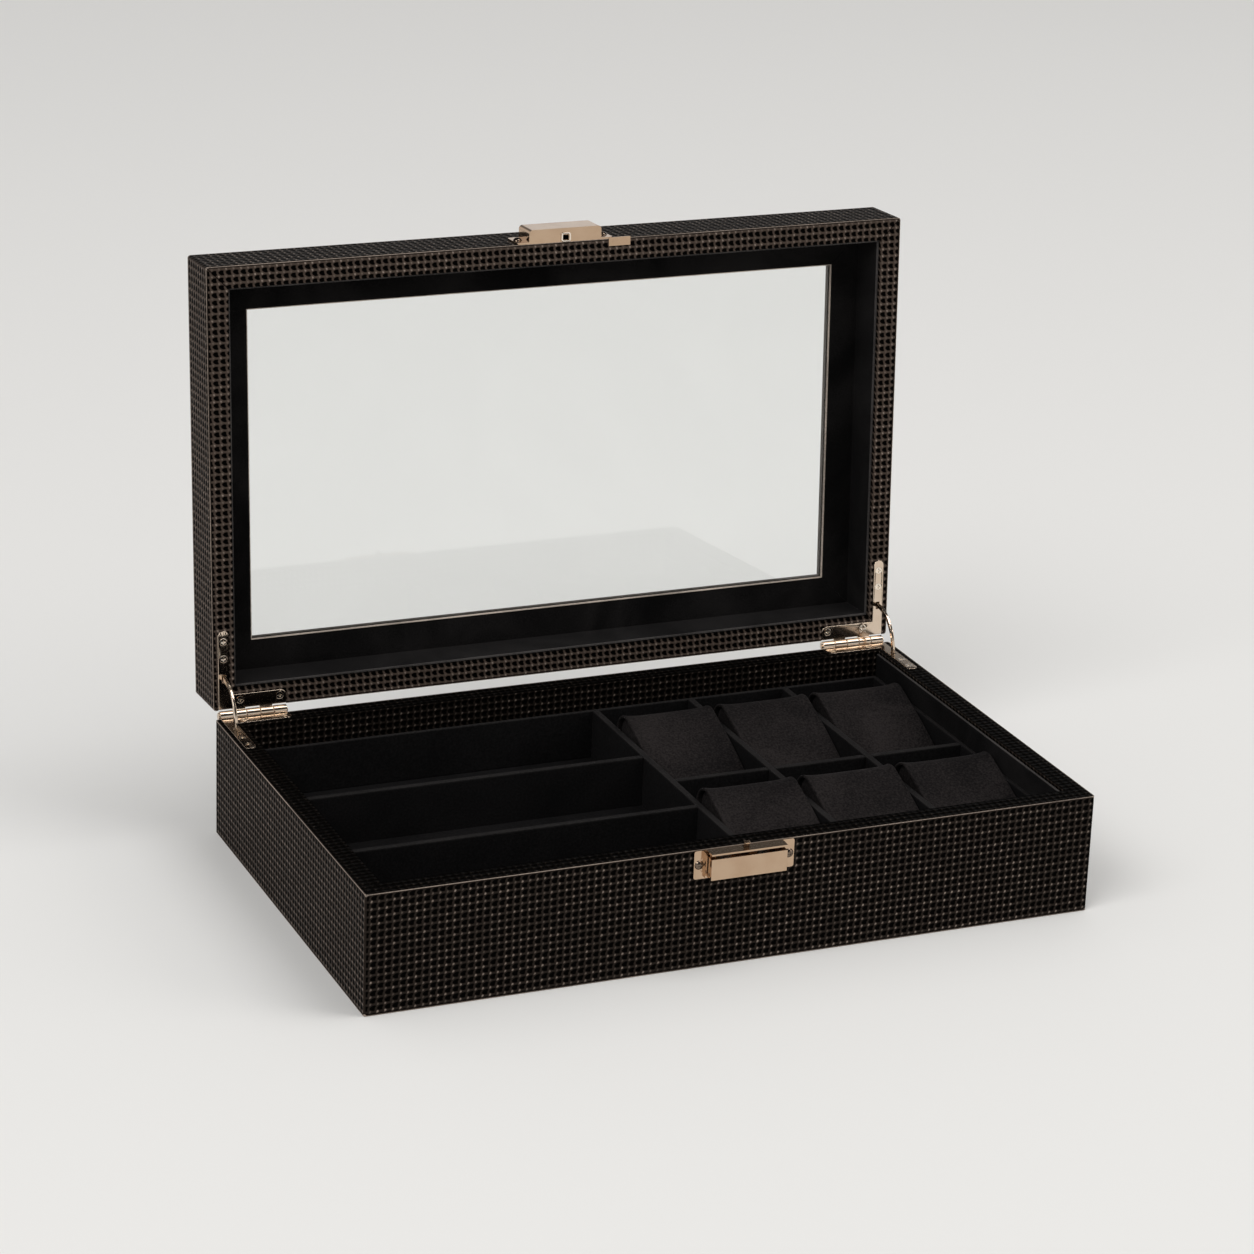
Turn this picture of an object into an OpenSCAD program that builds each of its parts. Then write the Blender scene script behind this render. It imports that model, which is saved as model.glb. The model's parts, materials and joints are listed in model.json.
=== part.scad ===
// Watch and glasses case: a leatherette covered box with a glazed lid, open on two stay hinges.
// Millimetres, +Z up. Origin: centre of the underside. The front, with the clasp, faces -Y.
// Lid pieces are drawn closed and swung open by on_lid().

/* [Case] */
// Outer width of the case
case_w = 335; // [310:1:370]
// Outer depth of the case, front to back
case_d = 202; // [190:1:230]
// Height of the base
base_h = 54; // [51:1:66]
// Height of the lid
lid_h = 27; // [26:1:38]
// Thickness of a covered wall
wall = 10; // [10:0.5:12]
// Thickness of the leatherette
skin = 0.8; // [0.6:0.1:0.9]
// Gap between the closed rims
rim_gap = 0.5; // [0.5:0.1:0.8]
// Angle at which the stays stop the lid
lid_open = 93; // [85:1:96]
// Radius of the upright corners of the case
corner_r = 1.2; // [0.9:0.1:1.6]
// Width of leatherette turned in over the rims
turn_in = 14; // [13:1:16]
// Thickness of the bottom board
bottom_t = 5; // [4:0.5:6]

/* [Tray] */
// Drop from the base rim to the top of the tray
tray_drop = 12.3; // [11:0.1:14]
// Depth of the bays
tray_depth = 23.2; // [20:0.1:25]
// Thickness of the tray walls
tray_wall = 1.8; // [1.4:0.1:2.4]
// Thickness of the tray floor
tray_floor_t = 2; // [1.6:0.1:2.4]
// Thickness of the dividers
divider_t = 3; // [2:0.1:3.4]
// Place of the centre divider, right of the middle
centre_x = 11.5; // [9:0.5:12]
// Thickness of the velvet lining boards
lining_t = 1; // [0.8:0.1:1.2]
// Number of riser strips under the tray
riser_n = 5; // [3:1:7]
// Thickness of a riser strip
riser_t = 8; // [5:1:12]

/* [Pillows] */
// Gap between a pillow and each side of its bay
pillow_gap = 1; // [0.6:0.1:3]
// Length of a pillow, front to back
pillow_l = 60; // [54:1:66]
// Height of a pillow at its crown, near the back
pillow_h = 30; // [27:1:34]
// Radius of a pillow's crown
crown_r = 9.5; // [8:0.5:11]
// Radius of a pillow's front edge
toe_r = 5; // [4:0.5:6]
// Thickness of the padded cover
pillow_cover_t = 2.2; // [1.6:0.1:3]
// Depth of the core's ends inside the cover
pillow_recess = 2; // [1:0.1:4]
// How far the pillows stand in front of the middle of their bays
pillow_shift = 5; // [2:0.5:6]

/* [Lid window] */
// Width of the covered frame around the glass
frame_w = 25; // [22:1:30]
// Thickness of the top frame boards
frame_t = 4; // [3.6:0.1:5]
// Thickness of the glass
glass_t = 2.3; // [2:0.1:2.5]
// Width of the rebate that the glass lies in
glass_lap = 5; // [4:0.5:6]
// Thickness of the strips that hold the glass
retainer_t = 1.2; // [1:0.1:1.6]

/* [Hinges] */
// Length of a leaf along the side wall
side_leg = 37; // [36:1:42]
// Length of a leaf along the back wall
back_leg = 34; // [32:1:38]
// Width of a leaf's side leg
leg_w = 5.1; // [4.9:0.1:5.4]
// Thickness of a leaf
leaf_t = 1.2; // [1:0.1:1.4]
// Height of a leaf above the rim
leaf_proud = 0.1; // [0:0.02:0.1]
// Radius of the hinge barrel
barrel_r = 2.3; // [2.1:0.1:2.5]
// Radius of the hinge pin
pin_r = 1; // [0.8:0.05:1.2]
// Number of knuckles in a barrel
knuckles = 5; // [3:2:7]
// Radius of the stay arm's arc
arm_r = 17.5; // [17:0.1:18]
// Height of the arm's section
arm_t = 2; // [1.6:0.1:2.2]
// Thickness of the arm
arm_w = 1.2; // [1:0.1:1.3]
// Width of the arm's stop heads
head_w = 3.4; // [3:0.1:3.6]

/* [Clasp] */
// Width of the housing
housing_w = 34.8; // [32:0.2:40]
// Width of an ear, beside the housing
ear_w = 5.6; // [5.5:0.1:7]
// Height of the clasp plates
clasp_h = 12.8; // [12.5:0.1:13.4]
// How far the housing stands out of the case
housing_d = 6.3; // [6.2:0.1:7]
// Thickness of the clasp metal
metal_t = 0.8; // [0.7:0.05:0.9]
// Width of the hook
hook_w = 2.4; // [2:0.1:3]
// Length of the catch plate's tab on the rim
tab_w = 10.5; // [8:0.5:12]

/* [Hidden] */
$fn = 64;
eps = 0.01;
clear = 0.3;          // running gap between pieces that move
fit = 0.1;            // gap around pieces that are pushed together
glue = 0.04;          // glue line in a mitred corner
pin_fit = 0.05;       // radial gap of a pin in its knuckle
half_w = case_w / 2;
half_d = case_d / 2;
in_w = half_w - wall;
in_d = half_d - wall;
board_t = wall - 2 * skin;
board_w = half_w - skin;
board_d = half_d - skin;

felt_inset = turn_in - 2;
tray_top = base_h - tray_drop;
floor_z = tray_top - tray_depth;
bottom_top = skin + bottom_t;
tray_w = in_w - lining_t - clear;
tray_d = in_d - clear;
bay_w = tray_w - tray_wall;
bay_d = tray_d - tray_wall;
glasses_bay = (2 * bay_d - 2 * divider_t) / 3;
watch_x0 = centre_x + divider_t / 2;
watch_bay = (bay_w - watch_x0 - 2 * divider_t) / 3;
pillow_w = watch_bay - 2 * pillow_gap;
pillow_bulge = 1;     // how far the slope of a pillow stands out at its middle
bulge_turn = 4;       // how much of the slope's turn the bulge takes at each end, in degrees
lining_drop = 1.5;

lid_z0 = base_h + rim_gap;
lid_z1 = lid_z0 + lid_h;
frame_z1 = lid_z1 - skin;
frame_z0 = frame_z1 - frame_t;
window_w = half_w - frame_w;
window_d = half_d - frame_w;
lid_turn_in = 10;

pin_y = half_d + barrel_r + 0.4;
pin_z = base_h + rim_gap / 2;
leaf_top = leaf_proud - rim_gap / 2;      // top of the base leaf, from the pin's height
leaf_under = leaf_top - leaf_t;
leg_x = half_w - wall / 2;
leg_end = half_d - side_leg;
back_end = half_w - back_leg;
back_edge = half_d - wall + 3.2;          // front edge of the back leg
knuckle_x0 = leg_x + leg_w / 2;
knuckle_len = (knuckle_x0 - back_end) / knuckles;
side_screws = [leg_end + 5, leg_end + 13];
back_screws = [half_w - 12.5, back_end + 3];
screw_y = back_edge + 2.6;
head_arc = 4.5;                           // length of a stop head, in degrees
head_t = 3.2;
stop_arc = asin((leaf_t + rim_gap / 2) / (arm_r - head_t / 2)) + asin(clear / arm_r);
arm_from = -stop_arc - head_arc;
arm_to = lid_open + stop_arc + head_arc;
arm_swing = (arm_to - arm_from) / 2;      // how far the closed arm reaches above and below the pin
pocket_w = head_w + 1.2;
pocket_h = (arm_r + head_t / 2) * sin(arm_swing) + 0.8;

clasp_z1 = base_h - 0.1;
clasp_z0 = clasp_z1 - clasp_h;
clasp_w = housing_w + 2 * ear_w;
ear_x = clasp_w / 2 - 2.4;
ear_z = (clasp_z0 + clasp_z1) / 2;
pivot_z = clasp_z0 + 2.8;
pivot_v = housing_d - 2.4;
pivot_r = 0.7;
push_top = clasp_z1 - 2.4;
cheek_x = housing_w / 2 - metal_t - 0.4 - metal_t;
spring_w = 5;
spring_x = housing_w / 4;
shoulder_t = 0.7;
catch_z0 = lid_z0 + 0.1;
hook_z0 = catch_z0 + metal_t + clear;
hook_z1 = hook_z0 + 0.9;
hook_v = 2.1;
hook_t = 0.9;
catch_v = hook_v + hook_t + clear;        // front edge of the slot that the hook holds

board_colour = "burlywood";
wrap_colour = [0.09, 0.085, 0.08];
velvet_colour = [0.05, 0.05, 0.055];
suede_colour = [0.12, 0.12, 0.13];
nickel_colour = [0.86, 0.80, 0.72];

// ---- frames ----

// Swings a lid piece from closed to the angle at which the stays hold it.
module on_lid() {
  translate([0, pin_y, pin_z]) rotate([-lid_open, 0, 0]) translate([0, -pin_y, -pin_z]) children();
}

// Turns a shape of the base's hinge into its twin on the closed lid.
module lid_twin() {
  translate([0, 0, 2 * pin_z]) mirror([0, 0, 1]) children();
}

// Hinges are drawn at the left. side is -1 for the left and 1 for the right.
module at_side(side) {
  if (side < 0) children();
  else mirror([1, 0, 0]) children();
}

module both_sides() {
  for (side = [-1, 1]) at_side(side) children();
}

// Clasp pieces are drawn with X out of the front face, Y up and Z across the case.
module clasp_section(width) {
  translate([-width / 2, -half_d, 0]) rotate([90, 0, 90]) mirror([1, 0, 0])
    linear_extrude(width) children();
}

// Shapes drawn in the front face's plane (X across, Y up) and raised out of it from v0 to v1.
module out_of_front(v0, v1) {
  translate([0, -half_d - v0, 0]) rotate([90, 0, 0]) linear_extrude(v1 - v0) children();
}

// ---- common shapes ----

module block(w, d, z0, z1) {
  translate([-w, -d, z0]) cube([2 * w, 2 * d, z1 - z0]);
}

module rounded_block(w, d, r, z0, z1) {
  translate([0, 0, z0]) linear_extrude(z1 - z0) union() {
    square([2 * w - 2 * r, 2 * d], center = true);
    square([2 * w, 2 * d - 2 * r], center = true);
    for (x = [-1, 1], y = [-1, 1]) translate([x * (w - r), y * (d - r)]) circle(r);
  }
}

// One of four mitred boards around a rectangle, w by d to its outer faces from the middle.
module front_rail(w, d, t, z0, z1) {
  m = w - glue;
  translate([0, 0, z0]) linear_extrude(z1 - z0)
    polygon([[-m, -d], [m, -d], [m - t, t - d], [t - m, t - d]]);
}

module left_rail(w, d, t, z0, z1) {
  translate([0, 0, z0]) linear_extrude(z1 - z0)
    polygon([[-w, -d], [t - w, t - d], [t - w, d - t], [-w, d]]);
}

// ---- screws ----

screw_head_r = 1.65;
screw_head_h = 0.9;
screw_shank_r = 0.8;
screw_len = 9;

module cross_recess(size, depth) {
  for (a = [0, 90]) rotate([0, 0, a])
    translate([-size / 2, -size / 8, -depth]) cube([size, size / 4, 2 * depth]);
}

module countersunk_screw() {
  difference() {
    union() {
      translate([0, 0, -screw_head_h]) cylinder(r1 = screw_shank_r, r2 = screw_head_r, h = screw_head_h);
      translate([0, 0, -screw_len]) cylinder(r = screw_shank_r, h = screw_len - screw_head_h + eps);
    }
    cross_recess(2, 0.45);
  }
}

module countersink() {
  translate([0, 0, -screw_head_h]) cylinder(r1 = screw_shank_r, r2 = screw_head_r, h = screw_head_h);
  translate([0, 0, -screw_len]) cylinder(r = screw_shank_r, h = screw_len);
  cylinder(r = screw_head_r, h = 1);
}

dome_head_r = 2.1;
dome_head_h = 1.3;
dome_round = (dome_head_r * dome_head_r + dome_head_h * dome_head_h) / (2 * dome_head_h);
dome_len = 7;

// A round-headed screw driven back into the front face.
module dome_screw(x, z) {
  translate([x, -half_d - metal_t, z]) rotate([90, 0, 0]) difference() {
    union() {
      intersection() {
        cylinder(r = dome_head_r, h = dome_head_h);
        translate([0, 0, dome_head_h - dome_round]) sphere(dome_round);
      }
      translate([0, 0, -dome_len]) cylinder(r = screw_shank_r, h = dome_len + eps);
    }
    translate([0, 0, dome_head_h]) cross_recess(dome_head_r, 0.5);
  }
}

module dome_screw_hole(x, z) {
  translate([x, -half_d + dome_len - metal_t, z]) rotate([90, 0, 0])
    cylinder(r = screw_shank_r, h = dome_len + 2);
}

// ---- hinges, drawn at the left with the base's rim at pin_z - rim_gap / 2 ----

// An L from the side wall's leg to the back wall's leg, grown by c all round.
module leaf_outline(c) {
  end_y = leg_end + leg_w / 2;
  end_x = back_end + leg_w / 2;
  back_d = half_d - back_edge - clear;
  translate([-leg_x, end_y]) circle(leg_w / 2 + c);
  translate([-leg_x - leg_w / 2 - c, end_y]) square([leg_w + 2 * c, half_d - end_y - 3]);
  translate([-knuckle_x0 - c, back_edge - c]) square([knuckle_x0 - end_x + c, back_d + c]);
  translate([-end_x, back_edge + leg_w / 2]) circle(leg_w / 2 + c);
  translate([-end_x - eps, back_edge + leg_w / 2]) square([leg_w / 2 + eps + c, back_d - leg_w / 2]);
}

// Everything a hinge needs cut from the rim: the leaf's seat, the way to the barrel, screws, arm pocket.
module hinge_cuts() {
  both_sides() {
    translate([0, 0, pin_z + leaf_under]) linear_extrude(5) leaf_outline(fit);
    translate([-knuckle_x0 - fit, half_d - 1, pin_z + leaf_under])
      cube([knuckle_x0 - back_end + 2 * fit, 2, 5]);
    hinge_screw_places() countersink();
    translate([-leg_x - pocket_w / 2, pin_y - arm_r - head_t / 2 - 0.6, pin_z - pocket_h])
      cube([pocket_w, arm_r + head_t / 2 + 0.6 - (arm_r - head_t / 2) * cos(arm_swing) + 0.8, pocket_h]);
  }
}

module hinge_screw_places() {
  for (y = side_screws) translate([-leg_x, y, pin_z + leaf_top]) children();
  for (x = back_screws) translate([-x, screw_y, pin_z + leaf_top]) children();
}

// parity 0 has the end knuckles and grips the pin. parity 1 turns on it.
module leaf(parity) {
  bore_r = parity == 0 ? pin_r : pin_r + pin_fit;
  difference() {
    union() {
      translate([0, 0, pin_z + leaf_under]) linear_extrude(leaf_t) leaf_outline(0);
      for (i = [parity:2:knuckles - 1]) translate([i * knuckle_len - knuckle_x0 + clear / 2, 0, pin_z]) {
        translate([0, half_d - 1.5, leaf_under]) cube([knuckle_len - clear, pin_y - half_d + 1.5, leaf_t]);
        translate([0, pin_y, 0]) rotate([0, 90, 0]) cylinder(r = barrel_r, h = knuckle_len - clear);
      }
    }
    translate([-knuckle_x0 - 1, pin_y, pin_z]) rotate([0, 90, 0]) cylinder(r = bore_r, h = knuckle_x0);
    hinge_screw_places() countersink();
    translate([-leg_x - arm_w / 2 - clear, pin_y - arm_r - arm_t / 2 - 0.6, pin_z + leaf_under - 1])
      cube([arm_w + 2 * clear, arm_t + 1.4, leaf_t + 2]);
  }
}

module hinge_pin() {
  translate([-knuckle_x0 - 0.5, pin_y, pin_z]) rotate([0, 90, 0]) {
    cylinder(r = pin_r, h = knuckle_x0 - back_end + 1);
    cylinder(r = pin_r + 0.6, h = 0.5);
  }
}

// A ring's arc around the pin, from one angle to another above the forward direction.
module arc(from, to, thick, width) {
  translate([-leg_x, pin_y, pin_z]) rotate([90 , 0, -90]) rotate([0, 0, from])
    rotate_extrude(angle = to - from, $fn = 128)
      translate([arm_r - thick / 2, -width / 2]) square([thick, width]);
}

module stay_arm() {
  arc(arm_from, arm_to, arm_t, arm_w);
  arc(arm_from, arm_from + head_arc, head_t, head_w);
  arc(arm_to - head_arc, arm_to, head_t, head_w);
}

// ---- base ----

module base_boards_cut() {
  difference() {
    children();
    hinge_cuts();
    for (x = [-ear_x, ear_x]) dome_screw_hole(x, ear_z);
  }
}

module base_front_board() {
  color(board_colour) base_boards_cut() front_rail(board_w, board_d, board_t, skin, base_h - skin);
}

module base_back_board() {
  color(board_colour) base_boards_cut()
    mirror([0, 1, 0]) front_rail(board_w, board_d, board_t, skin, base_h - skin);
}

module base_left_board() {
  color(board_colour) base_boards_cut() left_rail(board_w, board_d, board_t, skin, base_h - skin);
}

module base_right_board() {
  color(board_colour) base_boards_cut()
    mirror([1, 0, 0]) left_rail(board_w, board_d, board_t, skin, base_h - skin);
}

module base_bottom_board() {
  color(board_colour) block(in_w + skin, in_d + skin, skin, bottom_top);
}

module base_wrap() {
  color(wrap_colour) base_boards_cut() {
    difference() {
      rounded_block(half_w, half_d, corner_r, 0, base_h);
      block(board_w, board_d, skin, base_h - skin);
      block(in_w, in_d, base_h - 2 * skin, base_h + 1);
      block(half_w - felt_inset, half_d - felt_inset, -1, 2 * skin);
    }
    difference() {
      block(in_w + skin, in_d + skin, base_h - turn_in, base_h - skin);
      block(in_w, in_d, base_h - turn_in - 1, base_h);
    }
  }
}

module underside_felt() {
  color(velvet_colour) block(half_w - felt_inset - fit, half_d - felt_inset - fit, 0, skin);
}

module side_lining() {
  translate([-in_w, -in_d, bottom_top]) cube([lining_t, 2 * in_d, base_h - lining_drop - bottom_top]);
}

module left_side_lining() {
  color(velvet_colour) side_lining();
}

module right_side_lining() {
  color(velvet_colour) mirror([1, 0, 0]) side_lining();
}

// ---- tray ----

module tray_risers() {
  pitch = (2 * tray_w - 4 * riser_t) / (riser_n - 1);
  color(board_colour) for (i = [0:riser_n - 1])
    translate([-tray_w + 1.5 * riser_t + i * pitch, -bay_d, bottom_top])
      cube([riser_t, 2 * bay_d, floor_z - tray_floor_t - bottom_top]);
}

module tray_floor() {
  color(suede_colour) block(tray_w, tray_d, floor_z - tray_floor_t, floor_z);
}

module tray_long_wall() {
  translate([-tray_w, -tray_d, floor_z]) cube([2 * tray_w, tray_wall, tray_depth]);
}

module tray_short_wall() {
  translate([-tray_w, -bay_d, floor_z]) cube([tray_wall, 2 * bay_d, tray_depth]);
}

module tray_front_wall() {
  color(suede_colour) tray_long_wall();
}

module tray_back_wall() {
  color(suede_colour) mirror([0, 1, 0]) tray_long_wall();
}

module tray_left_wall() {
  color(suede_colour) tray_short_wall();
}

module tray_right_wall() {
  color(suede_colour) mirror([1, 0, 0]) tray_short_wall();
}

module centre_divider() {
  color(suede_colour) translate([centre_x - divider_t / 2, -bay_d, floor_z])
    cube([divider_t, 2 * bay_d, tray_depth]);
}

module glasses_divider(y) {
  translate([-bay_w, y - divider_t / 2, floor_z])
    cube([centre_x - divider_t / 2 + bay_w, divider_t, tray_depth]);
}

module rear_glasses_divider() {
  color(suede_colour) glasses_divider((glasses_bay + divider_t) / 2);
}

module front_glasses_divider() {
  color(suede_colour) glasses_divider(-(glasses_bay + divider_t) / 2);
}

function watch_divider_x(i) = watch_x0 + (i + 1) * watch_bay + (i + 0.5) * divider_t;

// The row divider is slotted from above and the two dividers across it from below.
module watch_row_divider() {
  color(suede_colour) difference() {
    translate([watch_x0, -divider_t / 2, floor_z]) cube([bay_w - watch_x0, divider_t, tray_depth]);
    for (i = [0, 1])
      translate([watch_divider_x(i) - divider_t / 2 - fit, -divider_t, floor_z + tray_depth / 2])
        cube([divider_t + 2 * fit, 2 * divider_t, tray_depth]);
  }
}

module watch_divider(i) {
  difference() {
    translate([watch_divider_x(i) - divider_t / 2, -bay_d, floor_z]) cube([divider_t, 2 * bay_d, tray_depth]);
    translate([watch_divider_x(i) - divider_t, -divider_t / 2 - fit, floor_z - 1])
      cube([2 * divider_t, divider_t + 2 * fit, tray_depth / 2 + 1]);
  }
}

module left_watch_divider() {
  color(suede_colour) watch_divider(0);
}

module right_watch_divider() {
  color(suede_colour) watch_divider(1);
}

// ---- pillows ----

// Points on a rounded corner of the section.
function round_points(x, y, r, from, to, n) =
  [for (i = [0:n]) [x + r * cos(from + (to - from) * i / n), y + r * sin(from + (to - from) * i / n)]];

// Seen from the right, with the back at +X: a crown near the back, a long slightly bulging slope to the
// low front edge, and a flat underside.
module pillow_section(inset) {
  crown = [pillow_l / 2 - crown_r, pillow_h - crown_r];
  toe = [toe_r - pillow_l / 2, toe_r];
  run = crown - toe;
  slope = atan2(run[1], run[0]) + asin((crown_r - toe_r) / norm(run));
  out = [-sin(slope), cos(slope)];
  top = crown + (crown_r - inset) * out;
  foot = toe + (toe_r - inset) * out;
  polygon(concat(
    round_points(crown[0], crown[1], crown_r - inset, 0, 90 + slope - bulge_turn, 11),
    [for (s = [1:9]) top + (foot - top) * s / 10 + pillow_bulge * sin(18 * s) * out],
    round_points(toe[0], toe[1], toe_r - inset, 90 + slope + bulge_turn, 270, 10),
    round_points(crown[0], crown_r, crown_r - inset, 270, 360, 7)
  ));
}

// row is 1 for the rear and -1 for the front. column is 0 to 2 from the left.
module at_pillow(row, column) {
  x = watch_x0 + (column + 0.5) * watch_bay + column * divider_t;
  y = row * (bay_d + divider_t / 2) / 2 - pillow_shift;
  translate([x, y, floor_z + clear]) rotate([90, 0, 90]) children();
}

module pillow_cover(row, column) {
  color(suede_colour) at_pillow(row, column) translate([0, 0, -pillow_w / 2])
    linear_extrude(pillow_w) difference() {
      pillow_section(0);
      pillow_section(pillow_cover_t);
    }
}

module pillow_core(row, column) {
  length = pillow_w - 2 * pillow_recess;
  color("dimgray") at_pillow(row, column) translate([0, 0, -length / 2]) linear_extrude(length)
    pillow_section(pillow_cover_t + eps);
}

module rear_left_pillow_cover() { pillow_cover(1, 0); }
module rear_middle_pillow_cover() { pillow_cover(1, 1); }
module rear_right_pillow_cover() { pillow_cover(1, 2); }
module front_left_pillow_cover() { pillow_cover(-1, 0); }
module front_middle_pillow_cover() { pillow_cover(-1, 1); }
module front_right_pillow_cover() { pillow_cover(-1, 2); }
module rear_left_pillow_core() { pillow_core(1, 0); }
module rear_middle_pillow_core() { pillow_core(1, 1); }
module rear_right_pillow_core() { pillow_core(1, 2); }
module front_left_pillow_core() { pillow_core(-1, 0); }
module front_middle_pillow_core() { pillow_core(-1, 1); }
module front_right_pillow_core() { pillow_core(-1, 2); }

// ---- lid, drawn closed ----

module lid_boards_cut() {
  on_lid() difference() {
    children();
    lid_twin() hinge_cuts();
    for (x = [-ear_x, ear_x]) dome_screw_hole(x, catch_z0 + clasp_h / 2);
    rim_tab(fit);
  }
}

module lid_front_board() {
  color(board_colour) lid_boards_cut() front_rail(board_w, board_d, board_t, lid_z0 + skin, frame_z0);
}

module lid_back_board() {
  color(board_colour) lid_boards_cut()
    mirror([0, 1, 0]) front_rail(board_w, board_d, board_t, lid_z0 + skin, frame_z0);
}

module lid_left_board() {
  color(board_colour) lid_boards_cut() left_rail(board_w, board_d, board_t, lid_z0 + skin, frame_z0);
}

module lid_right_board() {
  color(board_colour) lid_boards_cut()
    mirror([1, 0, 0]) left_rail(board_w, board_d, board_t, lid_z0 + skin, frame_z0);
}

// Four mitred boards, rebated underneath for the glass.
module lid_top_frame() {
  rail_w = frame_w - 2 * skin;
  color(board_colour) on_lid() difference() {
    union() {
      for (side = [0, 1]) mirror([side, 0, 0]) left_rail(board_w, board_d, rail_w, frame_z0, frame_z1);
      for (side = [0, 1]) mirror([0, side, 0]) front_rail(board_w, board_d, rail_w, frame_z0, frame_z1);
    }
    block(window_w + glass_lap, window_d + glass_lap, frame_z0 - 1, frame_z0 + glass_t + fit);
  }
}

module glass_pane() {
  color("lightcyan", 0.35) on_lid()
    block(window_w + glass_lap - fit, window_d + glass_lap - fit, frame_z0, frame_z0 + glass_t);
}

module lid_wrap() {
  color(wrap_colour) lid_boards_cut() {
    difference() {
      rounded_block(half_w, half_d, corner_r, lid_z0, lid_z1);
      block(board_w, board_d, lid_z0 + skin, frame_z1);
      block(in_w, in_d, lid_z0 - 1, lid_z0 + 2 * skin);
      block(window_w, window_d, frame_z1 - skin, lid_z1 + 1);
    }
    difference() {
      block(window_w + skin, window_d + skin, frame_z0 + glass_t + fit, frame_z1);
      block(window_w, window_d, frame_z0, lid_z1);
    }
    difference() {
      block(in_w + skin, in_d + skin, lid_z0 + skin, lid_z0 + lid_turn_in);
      block(in_w, in_d, lid_z0, lid_z0 + lid_turn_in + 1);
    }
  }
}

module lid_wall_lining() {
  z0 = lid_z0 + lining_drop;
  color(velvet_colour) on_lid() {
    for (side = [0, 1]) mirror([side, 0, 0]) left_rail(in_w, in_d, lining_t, z0, frame_z0 - retainer_t);
    for (side = [0, 1]) mirror([0, side, 0]) front_rail(in_w, in_d, lining_t, z0, frame_z0 - retainer_t);
  }
}

module glass_retainer() {
  strip = in_w - window_w;
  color(velvet_colour) on_lid() {
    for (side = [0, 1]) mirror([side, 0, 0]) left_rail(in_w, in_d, strip, frame_z0 - retainer_t, frame_z0);
    for (side = [0, 1]) mirror([0, side, 0]) front_rail(in_w, in_d, strip, frame_z0 - retainer_t, frame_z0);
  }
}

// ---- hinge nodes ----

module left_hinge_base_leaf() { color(nickel_colour) at_side(-1) leaf(0); }
module right_hinge_base_leaf() { color(nickel_colour) at_side(1) leaf(0); }
module left_hinge_lid_leaf() { color(nickel_colour) on_lid() lid_twin() at_side(-1) leaf(1); }
module right_hinge_lid_leaf() { color(nickel_colour) on_lid() lid_twin() at_side(1) leaf(1); }
module left_hinge_pin() { color(nickel_colour) at_side(-1) hinge_pin(); }
module right_hinge_pin() { color(nickel_colour) at_side(1) hinge_pin(); }
module left_stay_arm() { color(nickel_colour) at_side(-1) stay_arm(); }
module right_stay_arm() { color(nickel_colour) at_side(1) stay_arm(); }

module base_hinge_screws() {
  color(nickel_colour) both_sides() hinge_screw_places() countersunk_screw();
}

module lid_hinge_screws() {
  color(nickel_colour) on_lid() lid_twin() both_sides() hinge_screw_places() countersunk_screw();
}

// ---- clasp ----

// The plate with the ears that both halves are built on.
module eared_plate(z0) {
  r = 1;
  out_of_front(0, metal_t) difference() {
    union() {
      translate([-clasp_w / 2, z0 + r]) square([clasp_w, clasp_h - 2 * r]);
      translate([-clasp_w / 2 + r, z0]) square([clasp_w - 2 * r, clasp_h]);
      for (x = [-1, 1], z = [z0 + r, z0 + clasp_h - r])
        translate([x * (clasp_w / 2 - r), z]) circle(r);
    }
    for (x = [-ear_x, ear_x]) translate([x, z0 + clasp_h / 2]) circle(screw_shank_r);
  }
}

module clasp_body() {
  color(nickel_colour) difference() {
    union() {
      eared_plate(clasp_z0);
      translate([-housing_w / 2, -half_d - housing_d, clasp_z1 - metal_t])
        cube([housing_w, housing_d, metal_t]);
      for (x = [-1, 1]) translate([x * (cheek_x + metal_t / 2), 0, 0]) clasp_section(metal_t) polygon([
        [0, clasp_z0 + 0.4], [pivot_v + 1.1, clasp_z0 + 0.4], [pivot_v + 1.1, pivot_z + 1.2],
        [pivot_v + 0.5, push_top], [pivot_v + 0.5, clasp_z1 - 0.4], [0, clasp_z1 - 0.4]
      ]);
      for (x = [-1, 1]) translate([x * (housing_w / 2 + clear + shoulder_t / 2), 0, 0])
        clasp_section(shoulder_t) translate([0, clasp_z0 + 0.8]) square([2.4, clasp_h - 1.6]);
    }
    translate([-housing_w, -half_d - pivot_v, pivot_z]) rotate([0, 90, 0])
      cylinder(r = pivot_r, h = 2 * housing_w);
    translate([-hook_w / 2 - clear, -half_d - catch_v - 0.1, clasp_z1 - 2])
      cube([hook_w + 2 * clear, catch_v - metal_t, 4]);
  }
}

module clasp_push_plate() {
  flange = housing_d - 2;
  foot_z = clasp_z0 + 1;
  neck_z = push_top - 3;
  color(nickel_colour) difference() {
    union() {
      clasp_section(housing_w)
        translate([housing_d - metal_t, foot_z]) square([metal_t, push_top - foot_z]);
      for (x = [-1, 1]) translate([x * (housing_w - metal_t) / 2, 0, 0]) clasp_section(metal_t)
        translate([housing_d - flange, foot_z]) square([flange, push_top - foot_z]);
      clasp_section(hook_w) polygon([
        [housing_d - metal_t / 2, neck_z], [housing_d - metal_t / 2, neck_z + 1],
        [hook_v + hook_t, neck_z + 1],
        [hook_v + hook_t, hook_z0], [catch_v + 0.6, hook_z0], [catch_v + 0.6, hook_z0 + 0.2],
        [hook_v + hook_t / 2, hook_z1], [hook_v, hook_z1], [hook_v, neck_z]
      ]);
    }
    translate([-housing_w, -half_d - pivot_v, pivot_z]) rotate([0, 90, 0])
      cylinder(r = pivot_r + pin_fit, h = 2 * housing_w);
  }
}

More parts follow.
